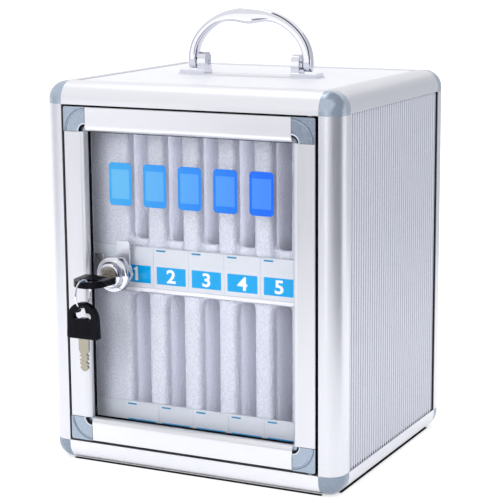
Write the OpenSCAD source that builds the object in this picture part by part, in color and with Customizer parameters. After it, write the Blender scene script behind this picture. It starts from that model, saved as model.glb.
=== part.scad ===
// A portable locker box for phones: an aluminium-edged case with a glazed,
// lockable front door, two tiers of five foam slots and a folding carry handle.
// Origin: centre of the case's underside. +X right, +Y to the back, +Z up.

/* [Case] */
// Width of the case
case_w = 250; // [230:1:320]
// Depth of the case
case_d = 220; // [200:1:300]
// Height of the case, without the carry handle
case_h = 302; // [290:1:360]
// Outer rounding of every edge profile
edge_r = 14; // [10:0.5:15]
// Width of an edge profile on the front, back and side faces
edge_narrow = 17; // [16:0.5:20]
// Width of an edge profile on the top, and of the posts on the sides
edge_wide = 19; // [18:0.5:24]
// Wall of the hollow edge profiles
edge_wall = 1.8; // [1.2:0.1:2.2]
// How far each corner cap's arms reach into the profiles
cap_arm_l = 12; // [8:1:20]

/* [Panels] */
// Thickness of the panels
panel_t = 2; // [1.6:0.1:2.2]
// How far the side, top and back panels lie below the profiles' outer faces
panel_recess = 0.8; // [0.6:0.1:1]
// Depth of the grooves that hold the panels
groove_depth = 5; // [4:0.5:6]
// Spacing of the embossed ribs on the side panels
rib_pitch = 4.5; // [4:0.5:10]
// Width of the valley between two ribs
rib_gap = 1.5; // [1:0.1:2.5]
// Height of the ribs above the valleys
rib_h = 0.8; // [0.4:0.1:1]

/* [Door] */
// Gap round the door on the lock side, the top and the bottom
door_gap = 1.5; // [1.2:0.1:2]
// Gap on the hinge side, where the door's heel turns
door_gap_hinge = 2.5; // [2.4:0.1:3]
// Thickness of the door frame
door_t = 10.2; // [10:0.1:11]
// Width of the flat face of a door frame member
door_face_w = 14.4; // [13:0.1:18]
// Radius of the rounded bead between that face and the pane
bead_r = 4.6; // [4:0.1:4.8]
// Thickness of the clear pane
pane_t = 2.5; // [2:0.1:2.6]
// Thickness of the rubber gasket round the pane
gasket_t = 0.5; // [0.4:0.1:0.5]
// How far the arm of a door corner reaches into a frame member
door_arm_l = 10; // [6:1:16]
// Height of the curved ridge on each door corner
ridge_h = 0.4; // [0.2:0.1:0.4]
// Radius of the round dimple in each door corner
dimple_r = 5.8; // [4:0.2:6.4]
// Distance from the door's hinge edge to the pivot axis
pivot_inset = 5.5; // [5:0.1:5.8]
// Radius of the pivot pins
pivot_r = 1.5; // [1.2:0.1:1.6]

/* [Lock] */
// Distance from the door's edge to the lock's axis
lock_inset = 38.5; // [38:0.5:42]
// Height of the lock's axis
lock_z = 154; // [140:1:170]
// Radius of the lock's flange
flange_r = 14; // [12:0.5:14]
// Radius of the lock's barrel
barrel_r = 9.5; // [9:0.1:10]
// Radius of the turning plug
plug_r = 7; // [6:0.1:7]
// How far the lock's bezel stands out in front of the pane
bezel_h = 8.4; // [6:0.2:12]
// Distance from the lock's axis to the tip of the cam
cam_l = 24; // [20:1:26]
// Width of the cam
cam_w = 12; // [10:1:14]
// How far the turned cam reaches behind the strike plate
cam_lap = 7; // [5:0.5:9]
// Thickness of the cam
cam_t = 2; // [1.5:0.1:2.4]

/* [Keys] */
// Width of a key's moulded head
head_w = 26; // [22:1:28]
// Length of a key's moulded head
head_l = 28; // [26:1:32]
// Thickness of a key's moulded head
head_t = 5; // [4:0.5:5]
// Width of the key blade
blade_w = 9; // [7:0.5:9.5]
// Thickness of the key blade
blade_t = 2; // [1.6:0.1:2.4]
// Length of the key blade that shows outside the head
blade_l = 25.5; // [24:0.5:26]
// Length of blade between the head and the lock, when the key is home
blade_out = 9.6; // [8:0.1:10]
// Radius of the key ring, to the middle of its wire
ring_r = 10.5; // [10:0.1:11]
// Radius of the key ring's wire
ring_wire_r = 0.7; // [0.5:0.1:0.8]

/* [Inside] */
// Number of phone slots in each tier
slot_count = 5; // [3:1:5]
// Spacing of the slots
slot_pitch = 31; // [28:0.5:34]
// Width of one slot
slot_w = 15; // [12:0.5:18]
// Height of the floor pad's top above the ground
floor_top = 9.5; // [6:0.5:14]
// Distance from the lower tier's floor to the upper tier's floor
tier_pitch = 130; // [120:1:140]
// Thickness of the shelf board between the tiers
shelf_t = 3; // [2:0.5:5]
// Height of the label strips
strip_h = 32.5; // [28:0.5:40]
// How much higher the lower label strip is than the upper one
lower_strip_extra = 3.5; // [0:0.5:5]
// How far the lower number cards are set to the right
lower_card_shift = 2.5; // [0:0.5:4]
// Radius of the foam dividers' front edges
divider_round = 4; // [2:0.5:6]
// Thickness of the label strips
strip_t = 2; // [1.5:0.1:3]
// Distance from the front of the case to the front of the label strips
strip_set_back = 32; // [30:1:45]
// Thickness of the number cards
card_t = 0.4; // [0.2:0.1:0.8]
// Gap between two number cards
card_gap = 0.6; // [0.4:0.1:2]

/* [Carry handle] */
// Width of the handle, outside
handle_w = 108; // [90:1:130]
// Height of the handle's top above the case
handle_rise = 53; // [45:1:65]
// Thickness of the handle's legs, seen from the front
handle_leg = 7; // [6:0.5:10]
// Extra thickness of the grip in the middle
grip_swell = 3.8; // [0:0.2:6]
// Depth of the handle from front to back
handle_depth = 10; // [8:0.5:11]
// Gap between each leg and its bracket, filled by a small boss
lug_gap = 2.2; // [1:0.2:3]
// Length of each bracket's base
bracket_l = 22.5; // [20:0.5:30]
// Depth of each bracket from front to back
bracket_d = 14; // [12:0.5:18]
// Thickness of each bracket's base
bracket_t = 2.6; // [2:0.1:3]
// Radius of the handle's pivot pins
handle_pin_r = 2; // [1.5:0.1:2.5]

/* [Hidden] */

$fn = 64;
eps = 0.01;

// Clearances
seat_clear = 0.1;   // piece in a groove, arm in a profile
run_clear = 0.05;   // shaft in its hole, on the radius
face_clear = 0.3;   // between faces that move past each other
soft_clear = 0.3;   // round the foam pieces

// Case
web = 1.2;                                  // metal left round a groove
groove_w = panel_t + seat_clear;
open_w = case_w - 2 * edge_narrow;          // door opening
panel_bite = groove_depth - 0.5;            // panel edge inside its groove
arm_inset = edge_r - (edge_r - edge_wall) * sqrt(0.5) + 0.1;
jamb_x = open_w / 2;
front_y = -case_d / 2;
panel_in_z = case_h - panel_recess - panel_t;
side_in_x = case_w / 2 - panel_recess - panel_t;
rail_in_x = case_w / 2 - edge_wide;
rail_in_y = case_d / 2 - edge_wide;

// Door
door_y = front_y + ridge_h;                 // front face of the door frame
door_x0 = -jamb_x + door_gap;
door_x1 = jamb_x - door_gap_hinge;
door_z0 = edge_narrow + door_gap;
door_z1 = case_h - edge_narrow - door_gap;
door_w = door_x1 - door_x0;
door_h = door_z1 - door_z0;
member_w = door_face_w + bead_r;
member_wall = 1.5;
pane_slot_v = bead_r + 0.4;                 // front of the pane's groove
pane_slot_w = pane_t + 2 * gasket_t;
pane_bite = 4.5;
pane_y = door_y + pane_slot_v + gasket_t;   // front of the pane
pane_back_y = pane_y + pane_t;
door_back_y = door_y + door_t;
pivot_x = door_x1 - pivot_inset;
pivot_y = door_y + door_t / 2;
pivot_reach = 6;
bush_r = pivot_r + run_clear + 1;
bush_flange_r = bush_r + 0.7;
collar_t = (door_gap - face_clear) / 2;

// Lock's axis, and the strike plate on the rear face of the front left post
lock_x = door_x0 + lock_inset;
strike_t = 1.5;
strike_y = -rail_in_y;
strike_back_y = strike_y + strike_t;
strike_reach = lock_x - cam_l + cam_lap + jamb_x;   // how far the plate stands into the opening
strike_h = 26;
strike_lap = 13;                            // plate on the post
strike_screw_gap = 14;
screw_r = 1.5;
screw_head_r = 2.8;
screw_grip = 4;                             // screw beyond the sheet that it holds

// Lock, seen from the front: y grows towards the inside of the case
washer_t = 0.5;
flange_t = 2;
flange_y = pane_y - washer_t;               // back face of the flange
bezel_y = pane_y - bezel_h;                 // front face of the lock
barrel_back_y = strike_back_y - 1.2;
nut_t = 4;
nut_af = 25;
slot_clear = 0.2;
keyway_l = blade_l - blade_out + 0.8;
stud_s = 7;
cam_y = strike_back_y + 0.4;

// Keys
head_y = bezel_y - 0.4 - blade_out;         // blade end of the inserted key's head
bar_w = 2.8;                                // bar between the hole and the head's end
lobe_r = 2.8;
blade_in = 6;                               // blade held inside the head
bar_y = head_y - head_l + bar_w / 2;
ring_drop = ring_r - ring_wire_r - head_t / 2 - 0.7;
ring_z = lock_z - ring_drop;
hang_z = ring_z - ring_r;                   // lowest point of the ring's wire centre
ring_play = 0.6;
spare_z = hang_z + ring_wire_r + ring_play + bar_w - head_l;

// Inside
shelf_top = floor_top + tier_pitch;
strip_y = front_y + strip_set_back;
foam_y = strip_y + strip_t + soft_clear;
foam_back_y = rail_in_y - soft_clear;
divider_w = slot_pitch - slot_w;
handle_screw_head_t = 2.2;
side_foam_x = (slot_count * slot_pitch - divider_w) / 2;
upper_foam_top = panel_in_z - handle_screw_head_t - soft_clear;
lower_foam_top = shelf_top - shelf_t - soft_clear;
rail_clear_z = edge_narrow + soft_clear;
card_w = slot_pitch - card_gap;
card_h = strip_h - 1;

// Carry handle
strip_on_top_t = 1;
top_z = case_h - panel_recess;
bracket_z = top_z + strip_on_top_t;
handle_pin_z = bracket_z + bracket_t + handle_depth / 2 + 1;
leg_in_x = handle_w / 2 - handle_leg;
lug_out_x = leg_in_x - lug_gap;
lug_w = 7;
lug_r = 5.5;
lug_lift = 3;                                  // of the lug's round top above the pin
arch_z = handle_pin_z + 3;
arch_h = case_h + handle_rise - arch_z;
bracket_in_x = lug_out_x - lug_w;
handle_screw_r = 2;
handle_screw_head_r = 3.6;

silver = [0.86, 0.87, 0.88];
panel_grey = [0.80, 0.82, 0.86];
cap_grey = [0.55, 0.60, 0.66];
foam_white = [0.93, 0.93, 0.95];
chrome = [0.75, 0.76, 0.78];
black = [0.06, 0.06, 0.07];

// ---------- shared shapes ----------

// Moves a piece modelled at the front, bottom, left corner to another corner
module at_corner(right, rear, top) {
  translate([0, 0, top ? case_h : 0])
    mirror([0, 0, top ? 1 : 0])
      mirror([right ? 1 : 0, 0, 0])
        mirror([0, rear ? 1 : 0, 0])
          children();
}

// Section of an edge profile, outer corner at the origin, drawn inset by "by"
module profile_outline(by) {
  difference() {
    translate([by, by]) square([edge_narrow - 2 * by, edge_wide - 2 * by]);
    difference() {
      translate([-1, -1]) square(edge_r + 1);
      translate([edge_r, edge_r]) circle(r = edge_r - by);
    }
  }
}

// Hollow edge profile: a groove in the narrow leg's end, one in the wide leg's
// end, and on the lock side a lip that the door closes against
module edge_profile(narrow_groove, wide_groove, wide_recess = panel_recess, lip = false) {
  far = panel_recess + groove_w + web;
  difference() {
    union() {
      profile_outline(0);
      if (lip)
        translate([edge_narrow - 1, door_t + ridge_h + face_clear]) square([door_gap + 2.5, 1.5]);
    }
    difference() {
      profile_outline(edge_wall);
      if (narrow_groove)
        translate([edge_narrow - groove_depth - web, 0]) square([edge_narrow, far]);
      if (wide_groove)
        translate([0, edge_wide - groove_depth - web]) square([far, edge_wide]);
    }
    if (narrow_groove)
      translate([edge_narrow - groove_depth, panel_recess]) square([groove_depth + 1, groove_w]);
    if (wide_groove)
      translate([wide_recess > 0 ? wide_recess : -1, edge_wide - groove_depth])
        square([groove_w + (wide_recess > 0 ? 0 : 1), groove_depth + 1]);
  }
}

module post(rear, lip = false) {
  translate([-case_w / 2, -case_d / 2, edge_narrow])
    linear_extrude(case_h - 2 * edge_narrow)
      edge_profile(rear, true, panel_recess, lip);
}

module cross_rail(rear, bottom) {
  translate([open_w / 2, -case_d / 2, 0])
    rotate([0, -90, 0])
      linear_extrude(open_w)
        edge_profile(rear, true, bottom ? 0 : panel_recess);
}

module side_rail(bottom) {
  translate([-case_w / 2, -rail_in_y, 0])
    rotate([-90, -90, 0])
      linear_extrude(2 * rail_in_y)
        edge_profile(true, true, bottom ? 0 : panel_recess);
}

// Block with one outer corner, its three outer edges and the corner rounded alike
module rounded_corner(size, r) {
  x = size[0];
  y = size[1];
  z = size[2];
  translate([0, r, r]) cube([x, y - r, z - r]);
  translate([r, 0, r]) cube([x - r, y, z - r]);
  translate([r, r, 0]) cube([x - r, y - r, z]);
  translate([r, r, r]) sphere(r = r);
  translate([r, r, r]) cylinder(r = r, h = z - r);
  translate([r, r, r]) rotate([0, 90, 0]) cylinder(r = r, h = x - r);
  translate([r, r, r]) rotate([-90, 0, 0]) cylinder(r = r, h = y - r);
}

// Moulded cap that joins three profiles: a rounded block with three arms
module corner_cap() {
  narrow_arm = edge_narrow - edge_wall - seat_clear - arm_inset;
  wide_arm = edge_wide - edge_wall - seat_clear - arm_inset;
  translate([-case_w / 2, -case_d / 2, 0]) {
    intersection() {
      rounded_corner([edge_narrow, edge_wide, edge_narrow], edge_r);
      cube([edge_narrow, edge_wide, edge_narrow]);
    }
    translate([arm_inset, arm_inset, edge_narrow - eps])
      cube([narrow_arm, wide_arm, cap_arm_l]);
    translate([edge_narrow - eps, arm_inset, arm_inset])
      cube([cap_arm_l, wide_arm, narrow_arm]);
    translate([arm_inset, edge_wide - eps, arm_inset])
      cube([wide_arm, cap_arm_l, narrow_arm]);
  }
}

// Rectangle with its corners notched, so that it clears the corner caps
module notched_panel(w, h) {
  square([w + 2 * panel_bite, h - 2 * seat_clear], center = true);
  square([w - 2 * seat_clear, h + 2 * panel_bite], center = true);
}

// Pivot pin holes in the case, top and bottom
module pivot_holes() {
  for (z = [edge_narrow, case_h - edge_narrow])
    translate([pivot_x, pivot_y, z])
      cylinder(r = pivot_r + run_clear, h = 4 * pivot_reach, center = true);
}

// ---------- case ----------

module front_left_post() {
  color(silver) difference() {
    at_corner(false, false, false) post(false, true);
    strike_screw_holes();
  }
}

module front_right_post() { color(silver) at_corner(true, false, false) post(false); }
module rear_left_post() { color(silver) at_corner(false, true, false) post(true); }
module rear_right_post() { color(silver) at_corner(true, true, false) post(true); }

module front_top_rail() {
  color(silver) difference() {
    at_corner(false, false, true) cross_rail(false, false);
    pivot_holes();
  }
}

module front_bottom_rail() {
  color(silver) difference() {
    at_corner(false, false, false) cross_rail(false, true);
    pivot_holes();
  }
}

module rear_top_rail() { color(silver) at_corner(false, true, true) cross_rail(true, false); }
module rear_bottom_rail() { color(silver) at_corner(false, true, false) cross_rail(true, true); }
module left_top_rail() { color(silver) at_corner(false, false, true) side_rail(false); }
module right_top_rail() { color(silver) at_corner(true, false, true) side_rail(false); }

module bottom_side_rail(right) {
  color(silver) difference() {
    at_corner(right, false, false) side_rail(true);
    bottom_screw_places() bottom_screw(seat_clear);
  }
}

module left_bottom_rail() { bottom_side_rail(false); }
module right_bottom_rail() { bottom_side_rail(true); }

module corner_caps(top) {
  color(cap_grey)
    for (right = [false, true], rear = [false, true])
      difference() {
        at_corner(right, rear, top) corner_cap();
        if (right && !rear) pivot_holes();
      }
}

module top_corner_caps() { corner_caps(true); }
module bottom_corner_caps() { corner_caps(false); }

// Embossed side panel: a sheet with evenly spaced trapezoid ribs on its outside
module ribbed_section(len) {
  count = floor((len - rib_gap) / rib_pitch);
  rib_w = rib_pitch - rib_gap;
  slope = 0.5;
  root = (rib_h + panel_t) / 2;
  translate([-len / 2, rib_h]) square([len, panel_t - rib_h]);
  for (i = [0 : count - 1]) {
    y = (i - (count - 1) / 2) * rib_pitch;
    polygon([
      [y - rib_w / 2, root], [y - rib_w / 2, rib_h], [y - rib_w / 2 + slope, 0],
      [y + rib_w / 2 - slope, 0], [y + rib_w / 2, rib_h], [y + rib_w / 2, root]
    ]);
  }
}

module side_panel() {
  side_h = case_h - 2 * edge_narrow;
  color(panel_grey)
    intersection() {
      translate([case_w / 2 - panel_recess, 0, edge_narrow - panel_bite])
        rotate([0, 0, 90])
          linear_extrude(side_h + 2 * panel_bite)
            ribbed_section(2 * rail_in_y + 2 * panel_bite);
      translate([side_in_x - 1, 0, case_h / 2])
        rotate([90, 0, 90])
          linear_extrude(panel_t + 2)
            notched_panel(2 * rail_in_y, side_h);
    }
}

module right_side_panel() { side_panel(); }
module left_side_panel() { mirror([1, 0, 0]) side_panel(); }

module handle_screw_places() {
  for (x = [-1, 1], inner = [0, 1])
    translate([x * (bracket_in_x + (inner ? lug_w / 2 : bracket_l - 4.5)), 0, 0])
      children();
}

module top_panel() {
  color(foam_white)
    difference() {
      translate([0, 0, panel_in_z])
        linear_extrude(panel_t) notched_panel(2 * rail_in_x, 2 * rail_in_y);
      handle_screw_places()
        translate([0, 0, panel_in_z - 1]) cylinder(r = handle_screw_r + seat_clear, h = panel_t + 2);
    }
}

module bottom_screw_places() {
  inset = panel_bite / 2;
  for (x = [-1, 1], y = [-1, 0, 1])
    translate([x * (rail_in_x + inset), y * (rail_in_y - cap_arm_l - screw_r - seat_clear - 0.4), 0])
      children();
}

module bottom_screw(clear) {
  cylinder(r1 = screw_head_r + clear, r2 = screw_r + clear, h = 1.3);
  cylinder(r = screw_r + clear, h = panel_t + screw_grip + clear);
}

module bottom_panel() {
  color(panel_grey)
    difference() {
      linear_extrude(panel_t) notched_panel(2 * rail_in_x, 2 * rail_in_y);
      bottom_screw_places() bottom_screw(seat_clear);
    }
}

module bottom_panel_screws() { color(chrome) bottom_screw_places() bottom_screw(0); }

module back_panel() {
  color(panel_grey)
    translate([0, case_d / 2 - panel_recess, case_h / 2])
      rotate([90, 0, 0])
        linear_extrude(panel_t) notched_panel(open_w, case_h - 2 * edge_narrow);
}

// ---------- inside ----------

module floor_foam_pad() {
  color(foam_white)
    translate([-rail_in_x + soft_clear, strip_y - 1, panel_t])
      cube([2 * (rail_in_x - soft_clear), foam_back_y - strip_y + 1, floor_top - panel_t]);
}

module back_foam_pad() {
  color(foam_white)
    translate([-jamb_x + soft_clear, rail_in_y, rail_clear_z])
      cube([2 * (jamb_x - soft_clear), edge_wide - panel_recess - panel_t - soft_clear,
            case_h - 2 * rail_clear_z]);
}

// Foam wall between two slots, with a round front
module divider(z0, z1) {
  r = divider_round;
  inner_w = divider_w - 2 * r;
  translate([0, 0, z0])
    linear_extrude(z1 - z0) {
      for (x = [-1, 1]) translate([x * inner_w / 2, foam_y + r]) circle(r = r);
      translate([-inner_w / 2, foam_y]) square([inner_w, 2 * r]);
      translate([-divider_w / 2, foam_y + r]) square([divider_w, foam_back_y - foam_y - r]);
    }
}

// Foam block between the outermost slot and the side panel, stepped round the rail
module side_block(z0, z1, step_low) {
  r = divider_round;
  wide = side_in_x - soft_clear - side_foam_x;
  narrow = rail_in_x - soft_clear - side_foam_x;
  step = edge_narrow + soft_clear;
  zs = step_low ? step : z0;
  ze = step_low ? z1 : case_h - step;
  translate([side_foam_x, 0, 0]) {
    translate([0, 0, z0])
      linear_extrude(z1 - z0) {
        translate([r, foam_y + r]) circle(r = r);
        translate([r, foam_y]) square([narrow - r, foam_back_y - foam_y]);
        translate([0, foam_y + r]) square([narrow, foam_back_y - foam_y - r]);
      }
    translate([narrow - eps, foam_y, zs])
      cube([wide - narrow, foam_back_y - foam_y, ze - zs]);
  }
}

module foam_tier(z0, z1, step_low) {
  color(foam_white) {
    for (i = [1 : slot_count - 1])
      translate([(i - slot_count / 2) * slot_pitch, 0, 0]) divider(z0, z1);
    for (m = [0, 1])
      mirror([m, 0, 0]) side_block(z0, z1, step_low);
  }
}

module lower_foam_dividers() { foam_tier(floor_top, lower_foam_top, true); }
module upper_foam_dividers() { foam_tier(shelf_top, upper_foam_top, false); }

module shelf_board() {
  color(foam_white)
    translate([-side_in_x + soft_clear, strip_y - 1, shelf_top - shelf_t])
      cube([2 * (side_in_x - soft_clear), foam_back_y - strip_y + 1, shelf_t]);
}

module label_strip(z, h) {
  color("white")
    translate([-rail_in_x + soft_clear, strip_y, z])
      cube([2 * (rail_in_x - soft_clear), strip_t, h]);
}

module lower_label_strip() { label_strip(floor_top, strip_h + lower_strip_extra); }
module upper_label_strip() { label_strip(shelf_top, strip_h); }

module number_cards(z) {
  color([0.35, 0.70, 0.95])
    for (i = [0 : slot_count - 1])
      translate([(i - (slot_count - 1) / 2) * slot_pitch - card_w / 2, strip_y - card_t,
                 z + (strip_h - card_h) / 2])
        cube([card_w, card_t, card_h]);
}

module lower_number_cards() {
  translate([lower_card_shift, 0, 0]) number_cards(floor_top + lower_strip_extra);
}
module upper_number_cards() { number_cards(shelf_top); }

// ---------- door ----------

// Section of a door frame member: flat face, round bead, pane groove, hollow core
module member_profile() {
  bead_x = door_face_w;
  lip = pane_slot_v - bead_r;
  difference() {
    union() {
      polygon([[0, 0.6], [0.6, 0], [bead_x, 0], [bead_x, door_t], [0.6, door_t], [0, door_t - 0.6]]);
      intersection() {
        translate([bead_x, bead_r]) circle(r = bead_r);
        translate([bead_x - eps, 0]) square([bead_r + eps, bead_r]);
      }
      translate([bead_x - eps, bead_r - eps]) square([bead_r + eps, lip + eps]);
      translate([bead_x - eps, pane_slot_v]) square([bead_r + eps, door_t - pane_slot_v]);
    }
    translate([member_w - pane_bite - gasket_t, pane_slot_v])
      square([pane_bite + gasket_t + 1, pane_slot_w]);
    translate([member_wall, member_wall])
      square([member_w - pane_bite - gasket_t - 2 * member_wall, door_t - 2 * member_wall]);
  }
}

module stile() {
  translate([0, door_y, door_z0 + member_w])
    linear_extrude(door_h - 2 * member_w) member_profile();
}

module door_member_across() {
  translate([door_x1 - member_w, door_y, 0])
    rotate([0, -90, 0])
      linear_extrude(door_w - 2 * member_w) member_profile();
}

module door_left_stile() { color(silver) translate([door_x0, 0, 0]) stile(); }
module door_right_stile() { color(silver) translate([door_x1, 0, 0]) mirror([1, 0, 0]) stile(); }
module door_bottom_rail() { color(silver) translate([0, 0, door_z0]) door_member_across(); }

module door_top_rail() {
  color(silver) translate([0, 0, door_z1]) mirror([0, 0, 1]) door_member_across();
}

// Moulded door corner: a square block with a curved ridge, two arms, and a
// round dimple at its inner corner
module door_corner() {
  arm = member_w - pane_bite - gasket_t - 2 * member_wall - 2 * seat_clear;
  arm_t = door_t - 2 * member_wall - 2 * seat_clear;
  inset = member_wall + seat_clear;
  ridge_r = member_w - 2;
  translate([0, door_y, 0])
    difference() {
      union() {
        translate([0, door_t, 0])
          rotate([90, 0, 0])
            linear_extrude(door_t)
              difference() {
                square(member_w);
                difference() {
                  translate([-1, -1]) square(2.5);
                  translate([1.5, 1.5]) circle(r = 1.5);
                }
              }
        translate([inset, inset, member_w - eps]) cube([arm, arm_t, door_arm_l]);
        translate([member_w - eps, inset, inset]) cube([door_arm_l, arm_t, arm]);
        intersection() {
          translate([member_w, eps, member_w])
            rotate([90, 0, 0])
              difference() {
                cylinder(r = ridge_r + 0.35, h = ridge_h);
                translate([0, 0, -1]) cylinder(r = ridge_r - 0.35, h = ridge_h + 2);
              }
          translate([0, -1, 0]) cube([member_w, 2, member_w]);
        }
      }
      translate([member_w - pane_bite - gasket_t, pane_slot_v, member_w - pane_bite - gasket_t])
        cube([member_w, pane_slot_w, member_w]);
      translate([member_w, 2.5, member_w])
        rotate([90, 0, 0])
          cylinder(r = dimple_r, h = 5);
    }
}

module door_corners() {
  color(cap_grey)
    for (right = [false, true], top = [false, true])
      difference() {
        translate([right ? door_x1 : door_x0, 0, top ? door_z1 : door_z0])
          mirror([right ? 1 : 0, 0, 0])
            mirror([0, 0, top ? 1 : 0])
              door_corner();
        if (right)
          translate([pivot_x, pivot_y, top ? door_z1 : door_z0])
            cylinder(r = bush_r + seat_clear / 2, h = 2 * pivot_reach + 1, center = true);
      }
}

// Slab as large as the door's clear opening, grown on every side
module pane_box(grow, y, t) {
  w = door_w - 2 * member_w + 2 * grow;
  h = door_h - 2 * member_w + 2 * grow;
  translate([(door_x0 + door_x1 - w) / 2, y, (case_h - h) / 2])
    cube([w, t, h]);
}

module door_pane() {
  color([0.75, 0.85, 0.95, 0.35])
    difference() {
      pane_box(pane_bite, pane_y, pane_t);
      translate([lock_x, pane_y - 1, lock_z])
        rotate([-90, 0, 0])
          cylinder(r = barrel_r + seat_clear, h = pane_t + 2);
    }
}

// Rubber channel that wraps the pane's edge inside the frame's groove
module pane_gasket() {
  color(black)
    difference() {
      pane_box(pane_bite + gasket_t, door_y + pane_slot_v, pane_slot_w);
      pane_box(-0.6, door_y + pane_slot_v - 1, pane_slot_w + 2);
      pane_box(pane_bite, pane_y, pane_t);
    }
}

module pivot_pins() {
  color(chrome)
    for (top = [0, 1])
      translate([pivot_x, pivot_y, top ? case_h : 0])
        mirror([0, 0, top]) {
          translate([0, 0, edge_narrow - 2 * edge_wall])
            cylinder(r = pivot_r, h = 2 * edge_wall + door_gap + pivot_reach - 1);
          translate([0, 0, edge_narrow]) cylinder(r = bush_flange_r, h = collar_t);
        }
}

module pivot_bushes() {
  color(black)
    for (top = [0, 1])
      translate([pivot_x, pivot_y, top ? case_h : 0])
        mirror([0, 0, top])
          translate([0, 0, door_z0])
            difference() {
              union() {
                cylinder(r = bush_r, h = pivot_reach);
                translate([0, 0, -collar_t]) cylinder(r = bush_flange_r, h = collar_t);
              }
              translate([0, 0, -1]) cylinder(r = pivot_r + run_clear, h = pivot_reach + 2);
            }
}

// ---------- lock ----------

// Places a shape of revolution on the lock's axis, its own +Z pointing inwards
module on_lock_axis(y) {
  translate([lock_x, y, lock_z])
    rotate([-90, 0, 0])
      children();
}

module lock_washer() {
  color(black)
    on_lock_axis(flange_y)
      difference() {
        cylinder(r = flange_r - 1, h = washer_t);
        translate([0, 0, -1]) cylinder(r = barrel_r + seat_clear, h = washer_t + 2);
      }
}

module lock_housing() {
  bore = plug_r + run_clear;
  front = bezel_h - washer_t;
  color(chrome)
    on_lock_axis(bezel_y)
      rotate_extrude()
        polygon([
          [bore, 0], [bore + 1.2, 0], [bore + 2.2, 0.7], [bore + 2.9, 2], [flange_r - 2.6, front - flange_t - 0.6],
          [flange_r - 1.2, front - flange_t], [flange_r, front - flange_t + 0.8], [flange_r, front],
          [barrel_r, front], [barrel_r, barrel_back_y - bezel_y], [bore, barrel_back_y - bezel_y]
        ]);
}

module lock_nut() {
  color(silver)
    on_lock_axis(pane_back_y)
      difference() {
        cylinder(d = nut_af / cos(30), h = nut_t, $fn = 6);
        translate([0, 0, -1]) cylinder(r = barrel_r + run_clear, h = nut_t + 2);
      }
}

module lock_plug() {
  slot_w2 = blade_w + 2 * slot_clear;
  slot_h = blade_t + 2 * slot_clear;
  stud_l = cam_y + cam_t - barrel_back_y;
  color([0.72, 0.68, 0.58])
    difference() {
      union() {
        on_lock_axis(bezel_y - 0.4) cylinder(r = plug_r, h = barrel_back_y - bezel_y + 0.4);
        translate([lock_x - stud_s / 2, barrel_back_y - eps, lock_z - stud_s / 2])
          cube([stud_s, stud_l + eps, stud_s]);
      }
      translate([lock_x - slot_w2 / 2, bezel_y - 1, lock_z - slot_h / 2])
        cube([slot_w2, keyway_l + 0.6, slot_h]);
      on_lock_axis(cam_y - 3) cylinder(r = screw_r + run_clear, h = 10);
    }
}

module lock_cam() {
  color(chrome)
    translate([lock_x, cam_y, lock_z])
      difference() {
        translate([0, cam_t, 0])
          rotate([90, 0, 0])
            linear_extrude(cam_t) {
              circle(r = cam_w / 2 + 1.5);
              translate([-cam_w / 2, 0]) square([cam_w, cam_l - 2]);
              translate([-cam_w / 2 + 2, 0]) square([cam_w - 4, cam_l]);
              for (x = [-1, 1])
                translate([x * (cam_w / 2 - 2), cam_l - 2]) circle(r = 2);
            }
        translate([-stud_s / 2 - seat_clear, -1, -stud_s / 2 - seat_clear])
          cube([stud_s + 2 * seat_clear, cam_t + 2, stud_s + 2 * seat_clear]);
      }
}

module cam_screw() {
  color(chrome)
    on_lock_axis(cam_y + cam_t) {
      cylinder(r = 5, h = 2.4);
      translate([0, 0, -cam_t - 2]) cylinder(r = screw_r, h = cam_t + 2);
    }
}

// Flat catch on the lock-side post that the turned cam slips behind
module strike_plate() {
  color(silver)
    difference() {
      translate([-jamb_x - strike_lap, strike_y, lock_z - strike_h / 2])
        cube([strike_lap + strike_reach, strike_t, strike_h]);
      strike_screw_holes();
    }
}

module strike_screw_places() {
  for (z = [-1, 1])
    translate([-jamb_x - strike_lap / 2, strike_back_y, lock_z + z * strike_screw_gap / 2])
      children();
}

module strike_screw_holes() {
  strike_screw_places()
    translate([0, 1, 0])
      rotate([90, 0, 0])
        cylinder(r = screw_r + seat_clear, h = 1 + strike_t + screw_grip + seat_clear);
}

module strike_screws() {
  color(chrome)
    strike_screw_places() {
      rotate([-90, 0, 0]) cylinder(r = screw_head_r, h = 1.8);
      rotate([90, 0, 0]) cylinder(r = screw_r, h = strike_t + screw_grip);
    }
}

// ---------- keys ----------

// Key blade from above: x across, y from the head towards the tip
module blade_outline(by) {
  cuts = [1.1, 2, 0.8, 1.7];
  step = 3;
  first = 10.5;
  w = blade_w / 2 + by;
  tip = blade_l + by;
  polygon(concat(
    [[-w, -blade_in - by], [-w, first - 1.5], [-w + 0.7, first]],
    [for (i = [0 : 3]) each [[-w + 0.7, first + i * step + 0.6],
                             [-w + 0.7 + cuts[i], first + i * step + 1.6],
                             [-w + 0.7, first + (i + 1) * step]]],
    [[-1, tip], [1, tip], [w - 0.7, tip - 2.5]],
    [for (i = [3 : -1 : 0]) each [[w - 0.7, first + (i + 1) * step - 0.6],
                                  [w - 0.7 - cuts[3 - i], first + (i + 1) * step - 1.6],
                                  [w - 0.7, first + i * step]]],
    [[w, first - 1.5], [w, -blade_in - by]]
  ));
}

module blade_shape() {
  translate([0, 0, -blade_t / 2]) linear_extrude(blade_t) blade_outline(0);
}

// Head from above: the blade comes out at y = 0 and the head reaches to -head_l
module head_outline() {
  arch = head_w / 2;
  flare = 0.6;
  hull() {
    translate([0, -head_l + arch]) circle(r = arch, $fn = 32);
    for (x = [-1, 1])
      translate([x * (head_w / 2 + flare - 1.5), -1.5]) circle(r = 1.5, $fn = 32);
  }
}

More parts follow.
